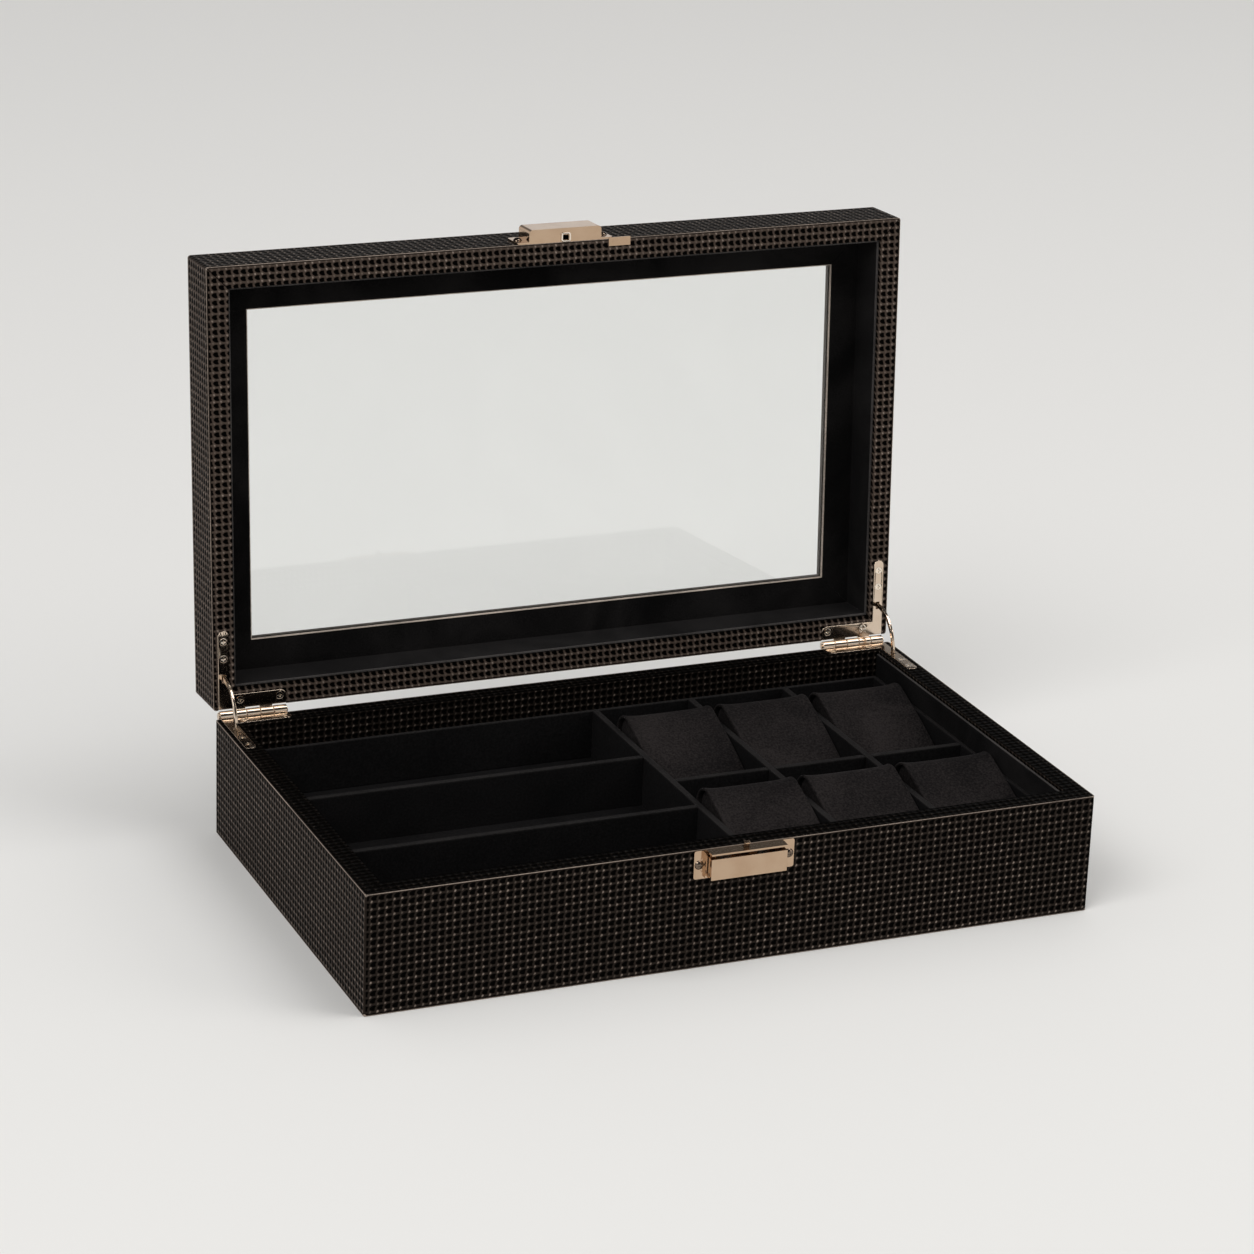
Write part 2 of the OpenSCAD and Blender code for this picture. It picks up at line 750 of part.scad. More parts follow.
module clasp_pivot_pin() {
  color(nickel_colour) translate([-housing_w / 2, -half_d - pivot_v, pivot_z]) rotate([0, 90, 0])
    cylinder(r = pivot_r, h = housing_w);
}

// A bent strip: its foot is riveted to the clasp body and its free end presses the push plate out.
module clasp_spring() {
  strip = 0.25;
  foot = metal_t;
  tip = housing_d - metal_t - fit;
  color("silver") for (x = [-spring_x, spring_x]) translate([x, 0, 0]) clasp_section(spring_w) polygon([
    [foot, pivot_z + 7], [foot, pivot_z + 2], [foot + strip, pivot_z + 1.6], [tip, pivot_z + 5],
    [tip, pivot_z + 5 + 1.4 * strip], [foot + strip, pivot_z + 2], [foot + strip, pivot_z + 7]
  ]);
}

module base_clasp_screws() {
  color(nickel_colour) for (x = [-ear_x, ear_x]) dome_screw(x, ear_z);
}

// A tab folded from the catch plate onto the lid's rim.
module rim_tab(c) {
  translate([clasp_w / 2 - 2 - c, -half_d - 0.5, lid_z0 - leaf_proud - c])
    cube([tab_w + 2 * c, 3.9 + c, 0.5 + 2 * c]);
}

module lid_catch_plate() {
  r = 1.6;
  color(nickel_colour) on_lid() difference() {
    union() {
      eared_plate(catch_z0);
      translate([0, 0, catch_z0]) linear_extrude(clasp_h) difference() {
        catch_outline(r, 0);
        catch_outline(r - metal_t, metal_t);
      }
      for (z = [catch_z0, catch_z0 + clasp_h - metal_t])
        translate([0, 0, z]) linear_extrude(metal_t) catch_outline(r, 0);
      translate([-hook_w / 2 - 1, -half_d - catch_v - 0.7, catch_z0 - 0.3])
        cube([hook_w + 2, catch_v + 0.5, 0.4]);
      rim_tab(0);
    }
    translate([-hook_w / 2 - clear, -half_d - catch_v, catch_z0 - 1])
      cube([hook_w + 2 * clear, catch_v - 0.4, metal_t + 1.3]);
    block(half_w, half_d, lid_z0 + 0.5, lid_z1);
  }
}

// Plan of the catch's hollow housing, with its two front corners rounded.
module catch_outline(r, inset) {
  w = housing_w / 2 - inset;
  d = housing_d - inset;
  translate([-w, -half_d - d + r]) square([2 * w, d - r]);
  translate([-w + r, -half_d - d]) square([2 * w - 2 * r, d]);
  for (x = [-1, 1]) translate([x * (w - r), -half_d - d + r]) circle(r);
}

module lid_clasp_screws() {
  color(nickel_colour) on_lid() for (x = [-ear_x, ear_x]) dome_screw(x, catch_z0 + clasp_h / 2);
}

// ---- drawing ----

base_front_board();
base_back_board();
base_left_board();
base_right_board();
base_bottom_board();
base_wrap();
underside_felt();
left_side_lining();
right_side_lining();
tray_risers();
tray_floor();
tray_front_wall();
tray_back_wall();
tray_left_wall();
tray_right_wall();
centre_divider();
rear_glasses_divider();
front_glasses_divider();
watch_row_divider();
left_watch_divider();
right_watch_divider();
rear_left_pillow_cover();
rear_middle_pillow_cover();
rear_right_pillow_cover();
front_left_pillow_cover();
front_middle_pillow_cover();
front_right_pillow_cover();
rear_left_pillow_core();
rear_middle_pillow_core();
rear_right_pillow_core();
front_left_pillow_core();
front_middle_pillow_core();
front_right_pillow_core();
lid_front_board();
lid_back_board();
lid_left_board();
lid_right_board();
lid_top_frame();
lid_wrap();
glass_pane();
glass_retainer();
lid_wall_lining();
left_hinge_base_leaf();
right_hinge_base_leaf();
left_hinge_lid_leaf();
right_hinge_lid_leaf();
left_hinge_pin();
right_hinge_pin();
left_stay_arm();
right_stay_arm();
base_hinge_screws();
lid_hinge_screws();
clasp_body();
clasp_push_plate();
clasp_pivot_pin();
clasp_spring();
base_clasp_screws();
lid_catch_plate();
lid_clasp_screws();
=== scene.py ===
"""Watch and glasses case, standing open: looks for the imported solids. Metres, front faces -Y."""
import bpy, bmesh, json, math
import numpy as np
from mathutils import Matrix, Vector
from mathutils.bvhtree import BVHTree


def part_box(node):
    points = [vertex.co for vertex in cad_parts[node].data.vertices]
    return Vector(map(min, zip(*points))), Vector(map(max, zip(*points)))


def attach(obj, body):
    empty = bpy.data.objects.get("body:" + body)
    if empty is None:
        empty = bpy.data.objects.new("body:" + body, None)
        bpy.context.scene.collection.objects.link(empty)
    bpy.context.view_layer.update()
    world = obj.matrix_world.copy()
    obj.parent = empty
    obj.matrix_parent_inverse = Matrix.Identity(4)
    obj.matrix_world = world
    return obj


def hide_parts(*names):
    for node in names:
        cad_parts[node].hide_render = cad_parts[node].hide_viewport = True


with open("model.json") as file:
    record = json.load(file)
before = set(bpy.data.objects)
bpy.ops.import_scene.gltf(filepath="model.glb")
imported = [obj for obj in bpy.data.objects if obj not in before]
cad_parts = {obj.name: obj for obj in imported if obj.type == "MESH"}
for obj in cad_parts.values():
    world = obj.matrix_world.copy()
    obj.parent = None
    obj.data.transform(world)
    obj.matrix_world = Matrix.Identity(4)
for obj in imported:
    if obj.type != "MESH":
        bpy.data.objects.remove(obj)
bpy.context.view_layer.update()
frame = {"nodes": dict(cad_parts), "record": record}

# ---- Studio ----
# A pale floor that runs out of view, a large soft lamp from the upper left, a weaker one from the
# right, a soft box overhead for the folded edges, and a room that is pale low down and dim overhead.
MM = 0.001
FLOOR_COLOUR, FLOOR_SHADE = (0.80, 0.79, 0.77), 0.985
FLOOR_REACH = 9.0
FLOOR_DROP = 0.2 * MM
ROOM_COLOURS = ((0.82, 0.82, 0.82), (0.045, 0.045, 0.047))
ROOM_DIMS_FROM, ROOM_DIMS_TO = 0.12, 0.45
ROOM_FILL = (0.50, 0.50, 0.50)
LAMP_AIM = Vector((0, 0, 0.1))


class Wire:
    """One socket of a finish. Sums on it add Math nodes; node() adds any other."""

    def __init__(self, tree, socket=None):
        self.tree, self.socket = tree, socket

    def node(self, kind, settings=None, inputs=None, out=0):
        """A node of that type, with its settings made first, then its sockets set or joined."""
        made = self.tree.nodes.new(kind)
        for name, value in (settings or {}).items():
            setattr(made, name, value)
        for key, value in (inputs or {}).items():
            if isinstance(value, Wire):
                self.tree.links.new(value.socket, made.inputs[key])
            elif made.inputs[key].type == "RGBA":
                made.inputs[key].default_value = (*value, 1.0)
            else:
                made.inputs[key].default_value = value
        return Wire(self.tree, made.outputs[out])

    def sum(self, operation, *terms):
        return self.node("ShaderNodeMath", {"operation": operation}, dict(enumerate(terms)))

    def __add__(self, other):
        return self.sum("ADD", self, other)

    def __radd__(self, other):
        return self.sum("ADD", other, self)

    def __sub__(self, other):
        return self.sum("SUBTRACT", self, other)

    def __rsub__(self, other):
        return self.sum("SUBTRACT", other, self)

    def __mul__(self, other):
        return self.sum("MULTIPLY", self, other)

    def __rmul__(self, other):
        return self.sum("MULTIPLY", other, self)

    def __truediv__(self, other):
        return self.sum("DIVIDE", self, other)

    def __rtruediv__(self, other):
        return self.sum("DIVIDE", other, self)

    def __gt__(self, other):
        return self.sum("GREATER_THAN", self, other)

    def __lt__(self, other):
        return self.sum("LESS_THAN", self, other)

    def __abs__(self):
        return self.sum("ABSOLUTE", self)

    def cos(self):
        return self.sum("COSINE", self)

    def floor(self):
        return self.sum("FLOOR", self)

    def part(self, axis):
        """x, y or z of a vector."""
        return self.node("ShaderNodeSeparateXYZ", inputs={0: self}, out="XYZ".index(axis))

    def step(self, low, high, at_low=0.0, at_high=1.0):
        """Runs smoothly from at_low to at_high as this value goes from low to high."""
        return self.node("ShaderNodeMapRange", {"interpolation_type": "SMOOTHSTEP"},
                         {0: self, 1: low, 2: high, 3: at_low, 4: at_high})

    def between(self, first, second):
        """The colour at this share of the way from first to second."""
        return self.node("ShaderNodeMix", {"data_type": "RGBA"}, {0: self, 6: first, 7: second}, out=2)

    def noise(self, scale, detail, roughness=0.5, distortion=0.0):
        """Clouds over this place, so many to the metre."""
        return self.node("ShaderNodeTexNoise", inputs={"Vector": self, "Scale": scale, "Detail": detail,
                                                       "Roughness": roughness, "Distortion": distortion})

    def relief(self, strength, depth):
        """The way that the surface faces with this value as its relief."""
        return self.node("ShaderNodeBump",
                         inputs={"Strength": strength, "Distance": depth, "Height": self})


def new_finish(name):
    """A new finish, and the place on its piece that its patterns follow."""
    made = bpy.data.materials.new(name)
    made.use_nodes = True
    made.node_tree.nodes.clear()
    return made, Wire(made.node_tree).node("ShaderNodeTexCoord", out="Object")


def coat(made, sockets):
    """Ends the finish in one shader with those sockets."""
    shader = Wire(made.node_tree).node("ShaderNodeBsdfPrincipled", inputs=sockets)
    out = made.node_tree.nodes.new("ShaderNodeOutputMaterial")
    made.node_tree.links.new(shader.socket, out.inputs["Surface"])
    return made


def floor_paint():
    made, spot = new_finish("studio_floor")
    shade = tuple(c * FLOOR_SHADE for c in FLOOR_COLOUR)
    return coat(made, {"Base Color": spot.noise(1.5, 2.0).between(shade, FLOOR_COLOUR), "Roughness": 0.7,
                       "Specular IOR Level": 0.2})


def floor_sheet():
    ways = ((-1, -1), (1, -1), (1, 1), (-1, 1))
    corners = [(x * FLOOR_REACH, y * FLOOR_REACH, -FLOOR_DROP) for x, y in ways]
    mesh = bpy.data.meshes.new("studio_floor")
    mesh.from_pydata(corners, [], [(0, 1, 2, 3)])
    mesh.materials.append(floor_paint())
    sheet = bpy.data.objects.new("studio_floor", mesh)
    bpy.context.scene.collection.objects.link(sheet)


def room():
    """The room as camera, metal and glass see it, and the plain light that it sheds on the rest."""
    world = bpy.data.worlds.new("studio_room")
    bpy.context.scene.world = world
    world.use_nodes = True
    world.node_tree.nodes.clear()
    wire = Wire(world.node_tree)
    camera_ray, glossy_ray, glass_ray = (wire.node("ShaderNodeLightPath", out=f"Is {kind} Ray")
                                         for kind in ("Camera", "Glossy", "Transmission"))
    height = wire.node("ShaderNodeTexCoord", out="Generated").part("Z")
    paint = height.step(ROOM_DIMS_FROM, ROOM_DIMS_TO).between(*ROOM_COLOURS)
    paint = (camera_ray + glossy_ray + glass_ray).step(0, 1).between(ROOM_FILL, paint)
    lit = wire.node("ShaderNodeBackground", inputs={"Color": paint})
    out = world.node_tree.nodes.new("ShaderNodeOutputWorld")
    world.node_tree.links.new(lit.socket, out.inputs["Surface"])


def lamp(name, power, size, place, colour=(1, 1, 1)):
    light = bpy.data.lights.new(name, "AREA")
    light.shape, light.size, light.size_y = "RECTANGLE", *size
    light.energy, light.color = power, colour
    made = bpy.data.objects.new(name, light)
    made.location = place
    made.rotation_euler = (LAMP_AIM - Vector(place)).to_track_quat("-Z", "Y").to_euler()
    bpy.context.scene.collection.objects.link(made)


floor_sheet()
room()
lamp("key_lamp", power=104.0, size=(3.0, 2.2), place=(-3.0, -1.8, 3.8))
lamp("fill_lamp", power=40.0, size=(2.4, 2.4), place=(3.8, -2.4, 2.4), colour=(1.0, 0.97, 0.93))
lamp("over_lamp", power=44.0, size=(1.8, 2.4), place=(1.56, -0.5, 3.9))
bpy.context.scene.view_settings.view_transform = "Standard"

# ---- Camera and image points ----
# The camera stands where the corners of the case in the photograph put it. The points are pixels of
# the 1254 x 1254 frame, each with the piece that it is on and the way its corner lies.
W = H = 1254
CAMERA_PLACE = Vector((-0.6572, -1.4768, 0.7058))
CAMERA_TURN, CAMERA_TILT, CAMERA_ROLL = -23.566, 20.085, 2.127
LENS, SENSOR = 113.59, 36.0
SHIFT_X = SHIFT_Y = 0.0
IMAGE_POINTS = {
    "left": (185.9, None, "lid_wrap", "left"),
    "right": (1095.6, None, "base_wrap", "right"),
    "top": (None, 207.4, "lid_wrap", "top"),
    "bottom": (None, 1016.2, "base_wrap", "bottom"),
    "base_front_left_top": (366.2, 897.3, "base_wrap", (-1, -1, 1)),
    "base_front_left_foot": (363.3, 1015.8, "base_wrap", (-1, -1, -1)),
    "base_front_right_top": (1095.4, 796.3, "base_wrap", (1, -1, 1)),
    "base_front_right_foot": (1086.2, 911.0, "base_wrap", (1, -1, -1)),
    "base_back_left_top": (214.8, 718.7, "base_wrap", (-1, 1, 1)),
    "lid_front_left_top": (204.2, 268.7, "lid_wrap", (-1, -1, 1)),
    "lid_back_left_top": (186.0, 256.8, "lid_wrap", (-1, 1, 1)),
    "lid_front_right_top": (897.9, 219.4, "lid_wrap", (1, -1, 1)),
    "left_lid_leaf_top": (222.1, 632.6, "left_hinge_lid_leaf", (0, 0, 1)),
    "right_lid_leaf_top": (881.2, 560.1, "right_hinge_lid_leaf", (0, 0, 1)),
    "push_plate": (751.2, 864.0, "clasp_push_plate", "middle"),
    "rear_left_pillow_crown": (622.5, 716.0, "rear_left_pillow_sleeve", (-1, 0, 1)),
    "front_right_pillow_crown": (986.3, 755.6, "front_right_pillow_sleeve", (1, 0, 1)),
    "catch_bead": (566.0, 237.0, "catch_bead", "middle"),
}


def stand_camera():
    turn, tilt, roll = (math.radians(a) for a in (CAMERA_TURN, CAMERA_TILT, CAMERA_ROLL))
    look = Vector((-math.sin(turn) * math.cos(tilt), math.cos(turn) * math.cos(tilt), -math.sin(tilt)))
    right = look.cross(Vector((0, 0, 1))).normalized()
    up = right.cross(look)
    x = math.cos(roll) * right + math.sin(roll) * up
    y = math.cos(roll) * up - math.sin(roll) * right
    lens = bpy.data.cameras.new("camera")
    lens.sensor_fit, lens.sensor_width, lens.lens = "AUTO", SENSOR, LENS
    lens.shift_x, lens.shift_y = SHIFT_X, SHIFT_Y
    lens.clip_start, lens.clip_end = 0.05, 60.0
    made = bpy.data.objects.new("camera", lens)
    made.matrix_world = Matrix.Translation(CAMERA_PLACE) @ Matrix((x, y, -look)).transposed().to_4x4()
    bpy.context.scene.collection.objects.link(made)
    bpy.context.scene.camera = made
    return made


def sight(x, y):
    """The line of sight through a pixel of the frame."""
    long_side = max(W, H)
    ray = Vector((x - W / 2 + SHIFT_X * long_side, H / 2 - y + SHIFT_Y * long_side,
                  -long_side * LENS / SENSOR))
    return CAMERA_PLACE, (camera.matrix_world.to_3x3() @ ray).normalized()


def pixel(place):
    """Where a place in the scene falls in the frame."""
    long_side = max(W, H)
    seen = camera.matrix_world.inverted() @ Vector(place)
    scale = long_side * LENS / SENSOR / -seen.z
    return W / 2 - SHIFT_X * long_side + seen.x * scale, H / 2 + SHIFT_Y * long_side - seen.y * scale


def finished(piece):
    """The corners and faces of a piece with its modifiers."""
    seen = piece.evaluated_get(bpy.context.evaluated_depsgraph_get())
    mesh = seen.to_mesh()
    corners = [seen.matrix_world @ v.co for v in mesh.vertices]
    faces = [tuple(face.vertices) for face in mesh.polygons]
    seen.to_mesh_clear()
    return corners, faces


def place_at(x, y, carrier):
    """Where a pixel falls on a finished piece, and which way the surface faces there."""
    corners, faces = finished(carrier)
    tree = BVHTree.FromPolygons(corners, faces)
    start, ray = sight(x, y)
    place, facing, _, _ = tree.ray_cast(start, ray)
    if place is None:
        beside = min(corners, key=lambda v: ((v - start) - (v - start).dot(ray) * ray).length)
        place, facing, _, _ = tree.find_nearest(start + (beside - start).dot(ray) * ray)
    return place, facing


camera = stand_camera()

# ---- Case boards ----
# Fibreboard walls, mitred and glued, with a bottom board below and a window frame in the lid.
# Their sawn edges show only in the pockets where the stays slide in. The window frame is stained black.
nodes = frame["nodes"]
BOARD_COLOURS = ((0.36, 0.24, 0.14), (0.50, 0.36, 0.23))
BLACKED_COLOURS = ((0.006, 0.005, 0.005), (0.015, 0.013, 0.012))
BOARD_PARTS = [name for name in nodes if name.endswith("_board")]
WELD_WITHIN = 0.02 * MM
FACING_WEIGHT = 80


def fibreboard(name, dark, light):
    made, spot = new_finish(name)
    fibre = spot.noise(1400.0, 6.0, 0.7)
    flecks = spot.noise(260.0, 3.0)
    return coat(made, {
        "Base Color": (fibre * 0.7 + flecks * 0.3).step(0.3, 0.7).between(dark, light),
        "Roughness": fibre.step(0.2, 0.8, 0.75, 0.95), "Normal": fibre.relief(0.5, 0.2 * MM)})


def dress(names, made, edge=0.0, rounds=2, angle=30):
    """Gives CAD pieces their finish, and breaks edges sharper than that angle by that much."""
    for name in names:
        piece = nodes[name]
        piece.data.materials.clear()
        piece.data.materials.append(made)
        weld = piece.modifiers.new("weld", "WELD")
        weld.merge_threshold = WELD_WITHIN
        if edge:
            bevel = piece.modifiers.new("broken_edge", "BEVEL")
            bevel.width, bevel.segments = edge, rounds
            bevel.limit_method, bevel.angle_limit = "ANGLE", math.radians(angle)
            bevel.miter_outer = "MITER_ARC"
        facing = piece.modifiers.new("facing", "WEIGHTED_NORMAL")
        facing.keep_sharp = False
        facing.weight = FACING_WEIGHT


dress(BOARD_PARTS, fibreboard("fibreboard", *BOARD_COLOURS))
dress(["lid_top_frame"], fibreboard("blacked_fibreboard", *BLACKED_COLOURS))

# ---- Leatherette ----
# Coated cloth embossed with a net of strands round dark pits, glued over the boards, turned in at the
# rims and butted on each mitre. Its crowns carry painted highlights as glints, and its folded edges
# a painted highlight line, partly wear. Its ends and the lid's rim are painted paler as painted light,
# and on the base's rim and inside walls the net and glints are painted fainter as painted shade. It is
# smooth where it lines the window, and painted paler there as a painted highlight.
WEAVE_PITCH = 3.27 * MM
STRAND_SLANT, SLANT_LAG = 0.75, 0.4
STRAND_WANDER, RUNG_WANDER = 1.2, 0.9
WEAVE_DEEP = 0.6 * MM
PIT_COLOUR, NET_COLOUR = (0.0006, 0.0005, 0.0004), (0.0200, 0.0155, 0.0128)
# The crowns' glint colour, a painted highlight.
CROWN_GLINT_COLOUR = (0.270, 0.216, 0.180)
# Painted light: the paler colour of the ends, and of the lid's rim, where the light falls on them.
SIDE_LIGHT_COLOUR, BASE_SIDE_LIGHT = (0.062, 0.046, 0.037), 0.45
# The folded edges' pale colour: a painted highlight line, partly wear.
WORN_HIGHLIGHT_COLOUR = (0.400, 0.325, 0.270)
# The window lining's paler colour, a painted highlight.
REVEAL_HIGHLIGHT_COLOUR, REVEAL_WIDE = (0.120, 0.104, 0.090), 1.1 * MM
FRAME_WIDE = 25.0 * MM
SQUARE_ON = 0.7
# How much of the weave's paint is left on level faces and on the base's inside walls; the rest is
# painted shade.
RIM_WEAVE, LID_WEAVE, INSIDE_WEAVE = 0.14, 1.0, 0.5
INSIDE_FROM = 5.0 * MM
FOLD = 1.4 * MM
FOLD_SMOOTH, FOLD_HIGHLIGHT_SPAN = (1.3, 1.75), (1.89, 1.97)
MITRE_FROM, MITRE_TO = 0.1 * MM, 0.35 * MM
LEATHERETTE_EDGE = 0.5 * MM


def lid_hinge():
    """Where the lid's pin lies, and how far the lid stands open at rest."""
    joint = next(j for j in frame["record"]["behaviour"]["joints"] if j["name"] == "lid_hinge")
    return tuple(joint["pos_m"]), math.radians(joint["range_deg"][1])


LID_PIN, LID_OPEN = lid_hinge()


def shut(spot, about=LID_PIN):
    """Where a spot of the open lid lies when the lid is shut."""
    return spot.node("ShaderNodeVectorRotate", {"rotation_type": "X_AXIS"},
                     {"Vector": spot, "Center": about, "Angle": LID_OPEN})


def shut_box(name):
    """The box of a lid piece as it lies when the lid is shut."""
    pin = Vector(LID_PIN)
    turn = Matrix.Rotation(LID_OPEN, 3, "X")
    seen = np.array([turn @ (v.co - pin) + pin for v in nodes[name].data.vertices])
    return Vector(seen.min(0)), Vector(seen.max(0))


def in_window(spot, beyond):
    """1 within the window, or within that much beyond its edge, and 0 outside."""
    corner = shut_box("lid_wrap")[1]
    half_x, half_y = (side - FRAME_WIDE + beyond for side in corner.xy)
    return (abs(spot.part("X")) < half_x) * (abs(spot.part("Y")) < half_y)


def near_face(value, low, high):
    """1 at the low and high faces of the case, and 0 from a fold's width inside them. Where two faces
    meet, their sum is 2."""
    return abs(value - (low + high) / 2).step((high - low) / 2 - FOLD, (high - low) / 2)


def leatherette(name, lo, hi, of_lid, level_weave):
    """lo and hi: the shut box of that half of the case. level_weave: how much of the weave's paint is
    left on its level faces, the rest painted as shade."""
    made, spot = new_finish(name)
    facing = spot.node("ShaderNodeTexCoord", out="Normal")
    if of_lid:
        spot, facing = shut(spot), shut(facing, (0, 0, 0))
    x, y, z = (spot.part(axis) for axis in "XYZ")
    on_side = abs(facing.part("X")) > SQUARE_ON
    on_level = abs(facing.part("Z")) > SQUARE_ON
    fine, drift, patch = spot.noise(1500.0, 2.0, 0.6), spot.noise(120.0, 1.0), spot.noise(22.0, 2.0)

    across = x + (y - x) * on_side
    along = z + (y - z) * on_level
    v = along * (math.tau / WEAVE_PITCH) + (drift - 0.5) * RUNG_WANDER
    u = across * (math.tau / WEAVE_PITCH) + (drift - 0.5) * STRAND_WANDER
    u = u + (v + SLANT_LAG).cos() * STRAND_SLANT
    strand, rung = 0.5 - u.cos() * 0.5, 0.5 - v.cos() * 0.5
    crossing = strand * rung
    pit = (1 - strand) * (1 - rung)
    slant = (u - v).cos() * 0.5 + 0.5
    column, row = (u / math.tau).floor(), (v / math.tau).floor()
    stitch = spot.node("ShaderNodeCombineXYZ", inputs={"X": column, "Y": row})
    chance = stitch.node("ShaderNodeTexWhiteNoise", {"noise_dimensions": "2D"}, {0: stitch}, out="Value")
    # Painted shade: the pale net and glints are painted fainter on the base's level faces and inside
    # walls, though the relief stays.
    kept = on_level.step(0, 1, 1.0, level_weave)
    if not of_lid:
        inside = (abs(x) < hi.x - INSIDE_FROM) * (abs(y) < hi.y - INSIDE_FROM)
        kept = kept * (1 - inside * (1 - INSIDE_WEAVE))
    net = (pit + (fine - 0.5) * 0.2).step(0.02, 0.32, 1.0, 0.0) * kept
    # Painted highlight: a glint on each crown, stronger on some knots than on others.
    crown = (crossing * slant + (fine - 0.5) * 0.35).step(0.48, 0.95)
    crown = crown * chance.step(0.0, 1.0, 0.2, 1.0) * kept

    to_fold = near_face(x, lo.x, hi.x) + near_face(y, lo.y, hi.y) + near_face(z, lo.z, hi.z)
    folds = to_fold.step(*FOLD_SMOOTH)
    # Painted highlight: the folded edges are painted pale in a line, broken up in patches like wear.
    worn_highlight = to_fold.step(*FOLD_HIGHLIGHT_SPAN) * (fine * 0.5 + patch * 0.5).step(0.3, 0.7, 0.35, 1.0)
    mitre = abs(abs(x) - abs(y) - (hi.x - hi.y)).step(MITRE_FROM, MITRE_TO, 1.0, 0.0) * on_level
    # Painted light: the ends, and on the lid the faces that are down when it is shut, are painted paler,
    # less so on the base.
    side_light = (facing.part("Z") < -SQUARE_ON) + on_side if of_lid else on_side * BASE_SIDE_LIGHT

    paint = net.between(PIT_COLOUR, NET_COLOUR)
    paint = (net * side_light).between(paint, SIDE_LIGHT_COLOUR)
    paint = (crown * patch.step(0.3, 0.7, 0.6, 1.0)).between(paint, CROWN_GLINT_COLOUR)
    paint = folds.between(paint, NET_COLOUR)
    paint = worn_highlight.between(paint, WORN_HIGHLIGHT_COLOUR)
    paint = mitre.between(paint, PIT_COLOUR)
    height = 0.6 - pit * 0.6 + crossing * 0.4
    height = (height + fine * 0.2) * (1 - mitre * 0.9) * (1 - folds * 0.85)
    roughness = net.step(0, 1, 0.62, 0.38) + (fine - 0.5) * 0.1 - folds * 0.08
    if of_lid:
        reveal = in_window(spot, REVEAL_WIDE)
        # Painted highlight: the smooth lining of the window is painted paler.
        paint = reveal.between(paint, REVEAL_HIGHLIGHT_COLOUR)
        height = height * (1 - reveal)
        roughness = roughness - reveal * 0.2
    return coat(made, {
        "Base Color": paint, "Roughness": roughness, "Specular IOR Level": 0.015,
        "Specular Tint": (1.0, 0.84, 0.73), "Normal": height.relief(1.0, WEAVE_DEEP)})


base_leatherette = leatherette("base_leatherette", *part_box("base_wrap"), False, RIM_WEAVE)
lid_leatherette = leatherette("lid_leatherette", *shut_box("lid_wrap"), True, LID_WEAVE)
dress(["base_wrap"], base_leatherette, LEATHERETTE_EDGE)
dress(["lid_wrap"], lid_leatherette, LEATHERETTE_EDGE)

# ---- Underside ----
# A sheet of black needle felt, on which the case stands. It is glued on inside the edge of the
# turned-under leatherette.
FELT_COLOURS = ((0.010, 0.010, 0.011), (0.034, 0.034, 0.037))
FELT_EDGE = 0.2 * MM


def felt():
    made, spot = new_finish("needle_felt")
    fibre = spot.noise(1100.0, 6.0, distortion=1.5)
    mottle = spot.noise(70.0, 3.0)
    return coat(made, {
        "Base Color": (fibre * 0.7 + mottle * 0.3).step(0.32, 0.68).between(*FELT_COLOURS),
        "Roughness": 0.95, "Sheen Weight": 0.35, "Sheen Roughness": 0.5,
        "Normal": fibre.relief(0.7, 0.3 * MM)})


dress(["underside_felt"], felt(), FELT_EDGE)

# ---- Tray ----
# Thin boards covered in charcoal microsuede, slotted together into three long bays for glasses and six
# for watches. The floor stands on riser strips. The nap is painted a little lighter along the top
# edges, a painted highlight.
SUEDE_COLOURS = ((0.0022, 0.0021, 0.0022), (0.0075, 0.0070, 0.0072))
# The top edges' lighter colour, a painted highlight.
SUEDE_TOP_HIGHLIGHT = (0.016, 0.0146, 0.0143)
TOP_HIGHLIGHT_FROM, TOP_HIGHLIGHT_TO = 0.9 * MM, 0.1 * MM
SUEDE_EDGE = 0.45 * MM
TRAY_PARTS = [name for name in nodes if name.startswith("tray_") or name.endswith("_divider")]


def microsuede(name, dark, light, top_highlight=None):
    """The last argument: the lighter colour painted as a highlight on the top edges, and the heights
    between which it sets in.
    """
    made, spot = new_finish(name)
    nap = spot.noise(1500.0, 4.0, 0.65)
    speck = spot.noise(1050.0, 1.0)
    stroke = spot.noise(26.0, 2.0, distortion=0.6)
    paint = (nap * 0.25 + speck * 0.40 + stroke * 0.35).step(0.34, 0.68).between(dark, light)
    if top_highlight:
        top_colour, low, high = top_highlight
        # Painted highlight: the nap is painted lighter near the top edges, in patches.
        patchy = (speck + stroke).step(0.7, 1.2, 0.45, 1.0)
        paint = (spot.part("Z").step(low, high) * patchy).between(paint, top_colour)
    return coat(made, {
        "Base Color": paint, "Roughness": stroke.step(0.3, 0.7, 0.86, 0.98), "Specular IOR Level": 0.08,
        "Sheen Weight": 0.03, "Sheen Roughness": 0.4, "Sheen Tint": (0.78, 0.72, 0.72),
        "Normal": (nap + speck).relief(0.45, 0.12 * MM)})


tray_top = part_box("tray_front_wall")[1].z
tray_top_highlight = (SUEDE_TOP_HIGHLIGHT, tray_top - TOP_HIGHLIGHT_FROM, tray_top - TOP_HIGHLIGHT_TO)
dress(TRAY_PARTS, microsuede("tray_suede", *SUEDE_COLOURS, tray_top_highlight), SUEDE_EDGE)

# ---- Velvet linings ----
# Card covered in short black velvet: strips on the side walls of the base, a frame inside the lid, and
# the lip that holds the glass. The pile leans in slow sweeps, and its folded edges are painted pale as
# a painted highlight.
# The lip is painted pale in a thin band round the window, a painted highlight along its edge.
VELVET_COLOURS = ((0.0022, 0.0021, 0.0021), (0.0120, 0.0110, 0.0108))
